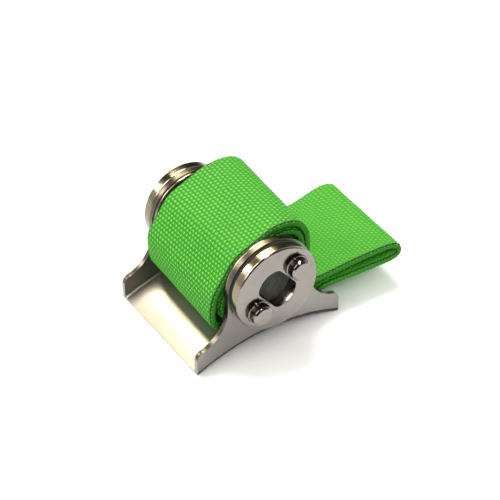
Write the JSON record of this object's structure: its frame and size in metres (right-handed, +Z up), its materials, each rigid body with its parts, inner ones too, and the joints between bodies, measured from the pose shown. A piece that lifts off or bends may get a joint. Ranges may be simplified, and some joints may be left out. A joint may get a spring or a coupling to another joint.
{
  "type": "windlass tourniquet",
  "caption": "Windlass tourniquet: woven strap wound on a turning drum in a pressed metal saddle frame, with its end folded into a limb loop.",
  "frame": {"origin": "middle of the whole object's footprint, on the surface it stands on", "axes": "+X from the free foot to the strap loop, +Y along the drum to its far disc, +Z up"},
  "size_m": [0.0507, 0.038, 0.0265],
  "materials": {
    "nickel_plate": "bright nickel plate, lightly worn",
    "webbing": "plain-woven synthetic webbing, matte with a soft sheen",
    "thread": "matte sewing thread",
    "core_rubber": "matte dark moulded rubber",
    "fibre": "matte dark pressed fibre",
    "bush_brass": "turned, satin"
  },
  "bodies": {
    "frame": {"saddle_frame": "nickel_plate", "near_bush": "bush_brass", "far_bush": "bush_brass", "strap_roll": "webbing", "strap_bend": "webbing", "strap_anchor_end": "webbing", "anchor_plate": "nickel_plate", "anchor_rivets": "nickel_plate", "anchor_stitching": "thread"},
    "drum": {"near_disc": "nickel_plate", "far_disc": "nickel_plate", "near_friction_washer": "fibre", "far_friction_washer": "fibre", "near_collar": "nickel_plate", "far_collar": "nickel_plate", "upper_rod": "nickel_plate", "lower_rod": "nickel_plate", "drum_core": "core_rubber", "strap_inner_end": "webbing"},
    "loop": {"strap_loop": "webbing"}
  },
  "joints": [
    {"name": "drum_turn", "type": "hinge", "parent": "frame", "child": "drum", "pos_m": [-0.00845, 0, 0.0157], "axis": [0, 1, 0], "continuous": true, "deforming": ["strap_roll"]},
    {"name": "loop_bend", "type": "hinge", "parent": "frame", "child": "loop", "pos_m": [0.00605, 0, 0.0072], "axis": [0, -1, 0], "range_deg": [-14, 60], "deforming": ["strap_bend"]}
  ]
}
